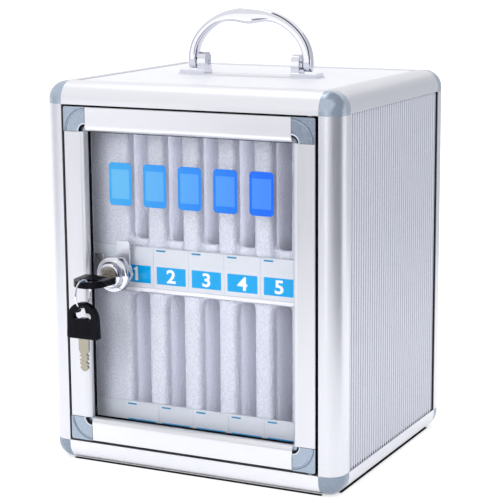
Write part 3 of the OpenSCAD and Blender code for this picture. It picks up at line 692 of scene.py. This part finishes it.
def panelSeamShade(side, plan):
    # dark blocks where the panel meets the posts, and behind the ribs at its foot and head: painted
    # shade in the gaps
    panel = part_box(side + "_side_panel")
    sign = 1 if side == "right" else -1
    outer = max(abs(panel[0].x), abs(panel[1].x))
    inner, proud, shallow = outer - plan["deep"], outer + plan["proud"], outer - plan["shallow"]
    y0, y1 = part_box("front_" + side + "_post")[1].y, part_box("rear_" + side + "_post")[0].y
    z0, z1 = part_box(side + "_bottom_rail")[1].z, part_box(side + "_top_rail")[0].z
    shape = bmesh.new()
    blocks = [
        (proud, (y1 - plan["rear"], z0), (y1, z1)),
        (proud, (y0, z0), (y0 + plan["front"], z1)),
        (shallow, (y0, z0), (y1, z0 + plan["foot"])),
        (shallow, (y0, z1 - plan["head"]), (y1, z1)),
    ]
    for reach, low, high in blocks:
        ends = sorted((sign * inner, sign * reach))
        addBlock(shape, (ends[0], *low), (ends[1], *high))
    newPiece(side + "_panel_seam_shade", shape, "rubber", "case")


def footShadowStrips(plan):
    # thin dark strips under the round edge of each bottom rail: a painted contact shadow
    shape = bmesh.new()
    for side, along in (("front", 0), ("rear", 0), ("left", 1), ("right", 1)):
        low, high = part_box(side + "_bottom_rail")
        sign = -1 if side in ("front", "left") else 1
        outer = (low if sign < 0 else high)[1 - along]
        across = sorted((outer - sign * plan["out"], outer - sign * plan["in"]))
        length = (low[along], high[along])
        (x0, x1), (y0, y1) = (length, across) if along == 0 else (across, length)
        addBlock(shape, (x0, y0, plan["low"]), (x1, y1, plan["high"]))
    newPiece("foot_shadow_strips", shape, "rubber", "case")


footShadowStrips(footShadowPlan)
doorGapShade(gapShadePlan)
panelSeamShade("right", seamShadePlan)
panelSeamShade("left", seamShadePlan)
print("gap shade made")


# ridges, dimple rims and joints of the door's corner blocks, with a painted highlight on the rims
# and painted shade in the dimples

cornerPlan = {
    # radius about the inner corner, radius of the round bead, and how far it is sunk in the face
    "ridge": (17.0 * mm, 0.5 * mm, -0.15 * mm),
    "groove": (17.9 * mm, 0.28 * mm, 0.1 * mm),
    "rim": (6.4 * mm, 0.5 * mm, 0),
    # a dark quarter-ring sheet in each dimple, painted shade
    "socket": (4.2 * mm, 5.75 * mm, 0.7 * mm),  # from, to, depth
    "socketFloor": 0.2 * mm,
    "joint": 0.6 * mm,
    "ink": 0.04 * mm,
    "sides": 12,
    "steps": 24,
}


def quarterBead(plan, kind, face):
    # a bead bent round the origin
    reach, bead, sunk = plan[kind]
    shape = bmesh.new()
    ring = bmesh.ops.create_circle(shape, segments=plan["sides"], radius=bead)["verts"]
    for vert in ring:
        vert.co = (reach + vert.co.x, face + sunk + vert.co.y, 0)
    quarterTurn(shape, ring + edgesOf(ring), plan["steps"])
    bmesh.ops.holes_fill(shape, edges=[e for e in shape.edges if e.is_boundary], sides=0)
    return shape


def cornerSocketShade(plan, face):
    # a dark quarter-ring sheet in the floor of each dimple: painted shade
    inner, outer, depth = plan["socket"]
    shape = bmesh.new()
    ends = [shape.verts.new((reach, face + depth, 0)) for reach in (inner, outer)]
    quarterTurn(shape, ends + [shape.edges.new(ends)], plan["steps"])
    bmesh.ops.solidify(shape, geom=shape.faces[:], thickness=plan["socketFloor"])
    return shape


def cornerJoints(plan, face, size):
    shape = quarterBead(plan, "groove", face)
    start = plan["rim"][0] + plan["rim"][1]
    half, ink = plan["joint"] / 2, plan["ink"]
    addBlock(shape, (-half, face - ink, start), (half, face + ink, size))
    addBlock(shape, (start, face - ink, -half), (size, face + ink, half))
    return shape


def intoCorners(shape, spots):
    # moves the shape, made for an outer corner at +X and +Z, into the first corner, and copies
    # of it into the others
    first = list(shape.verts) + list(shape.edges) + list(shape.faces)
    copies = [bmesh.ops.duplicate(shape, geom=first)["geom"] for spot in spots[1:]]
    for (x, z, signX, signZ), items in zip(spots[1:] + spots[:1], copies + [first]):
        for vert in (item for item in items if isinstance(item, bmesh.types.BMVert)):
            vert.co = (x + signX * vert.co.x, vert.co.y, z + signZ * vert.co.z)
    return shape


def cornerDetails(plan):
    left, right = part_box("door_left_stile"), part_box("door_right_stile")
    bottom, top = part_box("door_bottom_rail"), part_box("door_top_rail")
    face = left[0].y
    spots = [
        (x, z, signX, signZ)
        for x, signX in ((left[1].x, -1), (right[0].x, 1))
        for z, signZ in ((bottom[1].z, -1), (top[0].z, 1))
    ]
    joints = cornerJoints(plan, face, left[1].x - left[0].x)
    details = [
        ("corner_ridges", quarterBead(plan, "ridge", face), "doorCap", "cap_plastic", True),
        # the dimple rims in the light plastic: a painted highlight
        ("corner_rims", quarterBead(plan, "rim", face), "ridge", "cap_plastic", True),
        ("corner_joints", joints, "seam", "cap_plastic", False),
        ("corner_socket_shades", cornerSocketShade(plan, face), "rubber", "black_rubber", False),
    ]
    for name, shape, material, slot, smooth in details:
        newPiece(name, intoCorners(shape, spots), material, "door", smooth)


cornerDetails(cornerPlan)
print("door corners detailed")


# foam

foamPlan = {
    "slots": 5,
    "pitch": 31 * mm,
    "slotWidth": 15 * mm,
    "round": 3.8 * mm,
    "roundSteps": 6,
    "padRound": 1.2 * mm,
    "padSteps": 3,
    "voxel": 2.2 * mm,
    "smoothing": 4,
    "smoothShare": 0.5,
    "ends": {  # what closes the slots at the front: from, to, thickness
        "upper": (0, 36.5 * mm, 7 * mm),
        "lower": (-3.4 * mm, 0, 7 * mm),
    },
    "endSetback": 6.4 * mm,
    "shrink": 0.25 * mm,
    "unevenness": 0.5 * mm,
    "unevenMiddle": 0.75,  # the brightness that leaves the skin where it is
    "lumps": 7 * mm,
}


def foamFinish(piece, plan):
    # a skin of even small faces, then a slightly uneven surface
    skin = piece.modifiers.new("skin", "REMESH")
    skin.mode = "VOXEL"
    skin.voxel_size = plan["voxel"]
    skin.use_smooth_shade = True
    soft = piece.modifiers.new("soft", "SMOOTH")
    soft.factor = plan["smoothShare"]
    soft.iterations = plan["smoothing"]
    texture = bpy.data.textures.new(piece.name + "_lumps", "CLOUDS")
    texture.noise_scale = plan["lumps"]
    uneven = piece.modifiers.new("uneven", "DISPLACE")
    uneven.texture = texture
    uneven.texture_coords = "LOCAL"
    uneven.strength = plan["unevenness"]
    uneven.mid_level = plan["unevenMiddle"]


def foamTier(node, plan):
    low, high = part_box(node)
    half = (plan["pitch"] - plan["slotWidth"]) / 2
    inset = plan["shrink"]
    front, back = low.y + inset, high.y - inset
    floor, ceiling = low.z + inset, high.z - inset
    shape = bmesh.new()
    reach = plan["slots"] * plan["pitch"] / 2 - half
    middles = [(i - plan["slots"] / 2) * plan["pitch"] for i in range(1, plan["slots"])]
    spans = [(middle - half, middle + half) for middle in middles]
    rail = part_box("left_bottom_rail")[1].x
    spans += [(rail + 2 * inset, -reach), (reach, -rail - 2 * inset)]
    for left, right in spans:
        corners = addBlock(shape, (left + inset, front, floor), (right - inset, back, ceiling))
        upright = [
            e
            for e in edgesOf(corners)
            if abs(e.verts[0].co.z - e.verts[1].co.z) > half and e.verts[0].co.y < front + inset
        ]
        roundEdges(shape, upright, plan["round"], plan["roundSteps"])
    start, end, thick = plan["ends"][node.split("_")[0]]
    edge = ceiling if end <= 0 else floor
    endFront = front + plan["endSetback"]
    ends = (-reach - half, endFront, edge + start), (reach + half, endFront + thick, edge + end)
    addBlock(shape, *ends)
    piece = newPiece(node.replace("_dividers", "_walls"), shape, "foam", "case")
    foamFinish(piece, plan)
    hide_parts(node)


def foamPad(node, plan):
    low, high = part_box(node)
    shape = bmesh.new()
    inset = Vector((plan["shrink"],) * 3)
    corners = addBlock(shape, low + inset, high - inset)
    roundEdges(shape, edgesOf(corners), plan["padRound"], plan["padSteps"])
    piece = newPiece(node.replace("_pad", "_sheet"), shape, "foam", "case")
    foamFinish(piece, plan)
    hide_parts(node)


foamTier("lower_foam_dividers", foamPlan)
foamTier("upper_foam_dividers", foamPlan)
foamPad("floor_foam_pad", foamPlan)
foamPad("back_foam_pad", foamPlan)
print("foam made")


# printed cards

cardPrint = {
    "blueWidth": 25.6 * mm,
    "blueHeight": 13.9 * mm,
    "blueRise": {"upper": 3.8 * mm, "lower": 7.7 * mm},  # above the strip's foot
    "numeralHeight": 10.6 * mm,
    "numeralBreadth": 1.15,  # against the typeface's own
    "typeSize": 1.37,  # against the numeral's height
    "typeWeight": 0.03,  # past this the 6 and 9 fill wrongly
    "flag": (2.7 * mm, 1.3 * mm, -33),  # length, thickness, lean in degrees
    "dashWidth": 8 * mm,
    "dashHeight": 1.3 * mm,
    "dashDrop": 1.5 * mm,  # below the strip's top
    "ink": 0.06 * mm,
    "numeralLift": 1.5,  # in front of the card, against the ink's thickness
}


def numeralMesh(text, plan):
    # a plain bold numeral, upright, facing -Y, centred at the origin
    height = plan["numeralHeight"]
    curve = bpy.data.curves.new("numeral", "FONT")
    curve.body = text
    curve.size = height * plan["typeSize"]
    curve.align_x = "CENTER"
    curve.align_y = "CENTER"
    curve.offset = height * plan["typeWeight"]
    curve.extrude = plan["ink"] / 2
    holder = bpy.data.objects.new("numeral", curve)
    bpy.context.scene.collection.objects.link(holder)
    bpy.context.view_layer.update()
    drawn = holder.evaluated_get(bpy.context.evaluated_depsgraph_get())
    made = bpy.data.meshes.new_from_object(drawn)
    bpy.data.objects.remove(holder)
    xs = [v.co.x for v in made.vertices]
    ys = [v.co.y for v in made.vertices]
    made.transform(Matrix.Translation((-(min(xs) + max(xs)) / 2, -(min(ys) + max(ys)) / 2, 0)))
    made.transform(Matrix.Diagonal((plan["numeralBreadth"], 1, 1, 1)))
    made.transform(Matrix.Rotation(math.radians(90), 4, "X"))
    return made


def flagOne(shape, numeral, plan):
    # the short stroke at the head of a 1, which the typeface leaves out
    spots = [vert.co for vert in numeral.vertices]
    left, front = min(spot.x for spot in spots), min(spot.y for spot in spots)
    top = max(spot.z for spot in spots)
    length, thick, lean = plan["flag"]
    corners = addBlock(shape, (-length, front, -thick), (thick, front + plan["ink"], 0))
    turn = Matrix.Rotation(math.radians(lean), 3, "Y")
    bmesh.ops.rotate(shape, verts=corners, cent=(0, 0, 0), matrix=turn)
    bmesh.ops.translate(shape, verts=corners, vec=(left + thick / 2, 0, top))


def printCards(tier, firstNumber, plan):
    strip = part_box(tier + "_label_strip")
    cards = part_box(tier + "_number_cards")
    blues, numerals, dashes = bmesh.new(), bmesh.new(), bmesh.new()
    foot = strip[0].z + plan["blueRise"][tier]
    dashTop = strip[1].z - plan["dashDrop"]
    front, ink = cards[0].y, plan["ink"]
    for i in range(foamPlan["slots"]):
        steps = i - (foamPlan["slots"] - 1) / 2
        x = (cards[0].x + cards[1].x) / 2 + steps * foamPlan["pitch"]
        left = x - plan["blueWidth"] / 2
        right, top = left + plan["blueWidth"], foot + plan["blueHeight"]
        addBlock(blues, (left, front - ink, foot), (right, front + ink, top))
        right, dashFoot = left + plan["dashWidth"], dashTop - plan["dashHeight"]
        addBlock(dashes, (left, front - ink, dashFoot), (right, front + ink, dashTop))
        text = str(firstNumber + i)
        numeral = numeralMesh(text, plan)
        spot = (x, front - plan["numeralLift"] * ink, foot + plan["blueHeight"] / 2)
        numeral.transform(Matrix.Translation(spot))
        numerals.from_mesh(numeral)
        if text.startswith("1"):
            flagOne(numerals, numeral, plan)
    newPiece(tier + "_card_panels", blues, "cardBlue", "case")
    newPiece(tier + "_card_dashes", dashes, "cardDash", "case")
    newPiece(tier + "_card_numerals", numerals, "numeral", "case")


printCards("upper", 1, cardPrint)
printCards("lower", 6, cardPrint)
print("cards printed")


# pictures on the pane

panePictures = {
    "count": 5,
    "spacing": 30.0 * mm,
    "width": 20 * mm,
    "height": 33 * mm,
    "corner": 3 * mm,
    "cornerSteps": 6,
    "middleZ": 225 * mm,
    "screenInset": (2.2 * mm, 5.2 * mm),
    "ink": 0.08 * mm,
}


def flatPlate(shape, middle, size, corner, steps, y, thickness):
    (x, z), (width, height) = middle, size
    low = (x - width / 2, y - thickness, z - height / 2)
    high = (x + width / 2, y, z + height / 2)
    edges = edgesOf(addBlock(shape, low, high))
    across = [e for e in edges if abs(e.verts[0].co.y - e.verts[1].co.y) > thickness / 2]
    roundEdges(shape, across, corner, steps)


def drawPictures(plan):
    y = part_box("door_pane")[0].y
    body, screens = bmesh.new(), bmesh.new()
    ink, corner, steps = plan["ink"], plan["corner"], plan["cornerSteps"]
    size = (plan["width"], plan["height"])
    screenSize = [side - 2 * inset for side, inset in zip(size, plan["screenInset"])]
    for i in range(plan["count"]):
        middle = ((i - (plan["count"] - 1) / 2) * plan["spacing"], plan["middleZ"])
        flatPlate(body, middle, size, corner, steps, y, ink)
        flatPlate(screens, middle, screenSize, corner / 4, steps, y - ink, ink / 2)
    newPiece("pane_pictures", body, "ink", "door")
    newPiece("pane_picture_screens", screens, "inkLight", "door")


drawPictures(panePictures)
print("pane pictures drawn")


# studio

studio = {
    "ambient": 0.88,
    "key": {"place": (0.3, -2.35, 0.8), "size": 1.1, "power": 17, "mirrored": False},
    "top": {"place": (-0.2, 0.1, 1.8), "size": 1.0, "power": 6, "mirrored": True},
    "slots": {  # soft fill inside each tier's slots
        "front": -0.0655,
        "middle": -0.019,
        "size": (0.16, 0.11),
        "power": {"upper": 0.042, "lower": 0.026},
    },
    "floorSize": 40.0,
    "floorDrop": 0.0001,
    "floorLift": 0.5,
    "target": (0, 0, 0.15),
    # dark cards that only gloss shows: an arch from the right to overhead, and flat ones
    "arch": {
        "middle": (0.08, 0, 0.3),
        "radius": 0.5,
        "from": -34,
        "to": 103,
        "front": (-0.9, -0.25),  # at the foot, and from the shoulder up
        "back": (0.0, 0.35),
        "shoulder": 40,
        "steps": 32,
        "shade": (0.0, 0.012, 0.06),
    },
    "cards": {  # shade, the foot from and to, height
        "rear_card": ((0.62, 0.63, 0.68), (0.15, 0.8), (0.8, 0.6), 0.7),
        "front_card": ((0.24, 0.24, 0.28), (-0.38, -0.82), (0.02, -0.82), 0.22),
        "left_card": ((0.7, 0.7, 0.75), (-0.62, -0.82), (-0.95, -0.2), 0.5),
        "post_card": ((0.4, 0.41, 0.48), (0.42, -0.62), (0.22, -0.66), 0.26),
    },
}


def areaLamp(name, plan, target):
    lamp = bpy.data.objects.new(name, bpy.data.lights.new(name, "AREA"))
    lamp.data.shape = "SQUARE"
    lamp.data.size = plan["size"]
    lamp.data.energy = plan["power"]
    lamp.visible_glossy = plan["mirrored"]
    aim = (Vector(target) - Vector(plan["place"])).to_track_quat("-Z", "Y")
    lamp.matrix_world = Matrix.Translation(plan["place"]) @ aim.to_matrix().to_4x4()
    bpy.context.scene.collection.objects.link(lamp)


def slotFill(tier, plan):
    # a broad weak lamp a little inside the slots, which gloss and the camera don't see
    low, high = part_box(tier + "_foam_dividers")
    lamp = bpy.data.objects.new(tier + "_fill", bpy.data.lights.new(tier + "_fill", "AREA"))
    lamp.data.shape = "RECTANGLE"
    lamp.data.size, lamp.data.size_y = plan["size"]
    lamp.data.energy = plan["power"][tier]
    lamp.visible_camera = lamp.visible_glossy = lamp.visible_transmission = False
    place = Matrix.Translation((plan["middle"], plan["front"], (low.z + high.z) / 2))
    lamp.matrix_world = place @ Matrix.Rotation(math.radians(90), 4, "X")
    bpy.context.scene.collection.objects.link(lamp)


def seenRays(tree):
    # 1 for camera, glossy and transmission rays that no dull surface has scattered, else 0
    path = addNode(tree, "ShaderNodeLightPath")
    seen = path.outputs["Is Camera Ray"]
    for name in ("Is Glossy Ray", "Is Transmission Ray"):
        seen = calculate(tree, "MAXIMUM", seen, path.outputs[name])
    direct = calculate(tree, "LESS_THAN", path.outputs["Diffuse Depth"], 0.5)
    return calculate(tree, "MULTIPLY", seen, direct)


def makeWorld(plan):
    world = bpy.data.worlds.new("studio")
    bpy.context.scene.world = world
    world.use_nodes = True
    tree = world.node_tree
    tree.nodes.clear()
    strength = spread(tree, seenRays(tree), plan["ambient"], 1.0, 0, 1)
    look = {"Color": (1, 1, 1, 1), "Strength": strength}
    background = addNode(tree, "ShaderNodeBackground", look)
    addNode(tree, "ShaderNodeOutputWorld", {0: background.outputs[0]})


def makeFloor(plan):
    shape = bmesh.new()
    bmesh.ops.create_grid(shape, x_segments=1, y_segments=1, size=plan["floorSize"] / 2)
    mesh = bpy.data.meshes.new("floor")
    shape.to_mesh(mesh)
    shape.free()
    floor = bpy.data.objects.new("floor", mesh)
    floor.location.z = -plan["floorDrop"]
    bpy.context.scene.collection.objects.link(floor)
    look = {"Base Color": tone(244, 244, 246), "Roughness": 0.7, "Emission Color": (1, 1, 1, 1)}
    material, tree, shader = newMaterial("floor_white", look)
    lift = spread(tree, seenRays(tree), 0, plan["floorLift"], 0, 1)
    tree.links.new(lift, shader.inputs["Emission Strength"])
    mesh.materials.append(material)


def glossCard(name, shape, shade):
    # a card that lamps, shadows and the camera don't see
    mesh = bpy.data.meshes.new(name)
    shape.to_mesh(mesh)
    shape.free()
    card = bpy.data.objects.new(name, mesh)
    bpy.context.scene.collection.objects.link(card)
    dull = {"Base Color": (0, 0, 0, 1), "Specular IOR Level": 0}
    look = {**dull, "Emission Color": (*shade, 1), "Emission Strength": 1}
    mesh.materials.append(newMaterial(name, look)[0])
    card.visible_camera = card.visible_transmission = False
    card.visible_diffuse = card.visible_shadow = False


def glossArch(plan):
    shape = bmesh.new()
    middle, radius = Vector(plan["middle"]), plan["radius"]
    start, turn = math.radians(plan["from"]), math.radians(plan["to"] - plan["from"])
    spot = middle + Vector((radius * math.cos(start), 0, radius * math.sin(start)))
    feet = plan["front"][0], plan["back"][0]
    first = [shape.verts.new(spot + Vector((0, y, 0))) for y in feet]
    bmesh.ops.spin(
        shape,
        geom=first + [shape.edges.new(first)],
        cent=middle,
        axis=(0, -1, 0),
        angle=turn,
        steps=plan["steps"],
    )
    for vert in shape.verts:
        # narrower towards the top
        upward = math.degrees(math.atan2(vert.co.z - middle.z, vert.co.x - middle.x))
        share = min(max(upward / plan["shoulder"], 0), 1)
        ends = plan["front"] if vert.co.y < sum(feet) / 2 else plan["back"]
        vert.co.y = ends[0] + (ends[1] - ends[0]) * share
    glossCard("arch_card", shape, plan["shade"])


def glossPlate(name, shade, start, end, height):
    shape = bmesh.new()
    foot = [shape.verts.new((*spot, 0)) for spot in (start, end)]
    head = [shape.verts.new((*spot, height)) for spot in (end, start)]
    bmesh.ops.contextual_create(shape, geom=foot + head)
    glossCard(name, shape, shade)


makeWorld(studio)
makeFloor(studio)
glossArch(studio["arch"])
for name, card in studio["cards"].items():
    glossPlate(name, *card)
areaLamp("key", studio["key"], studio["target"])
areaLamp("top", studio["top"], studio["target"])
for tier in ("lower", "upper"):
    slotFill(tier, studio["slots"])
bpy.context.scene.view_settings.view_transform = "Standard"
print("studio ready")
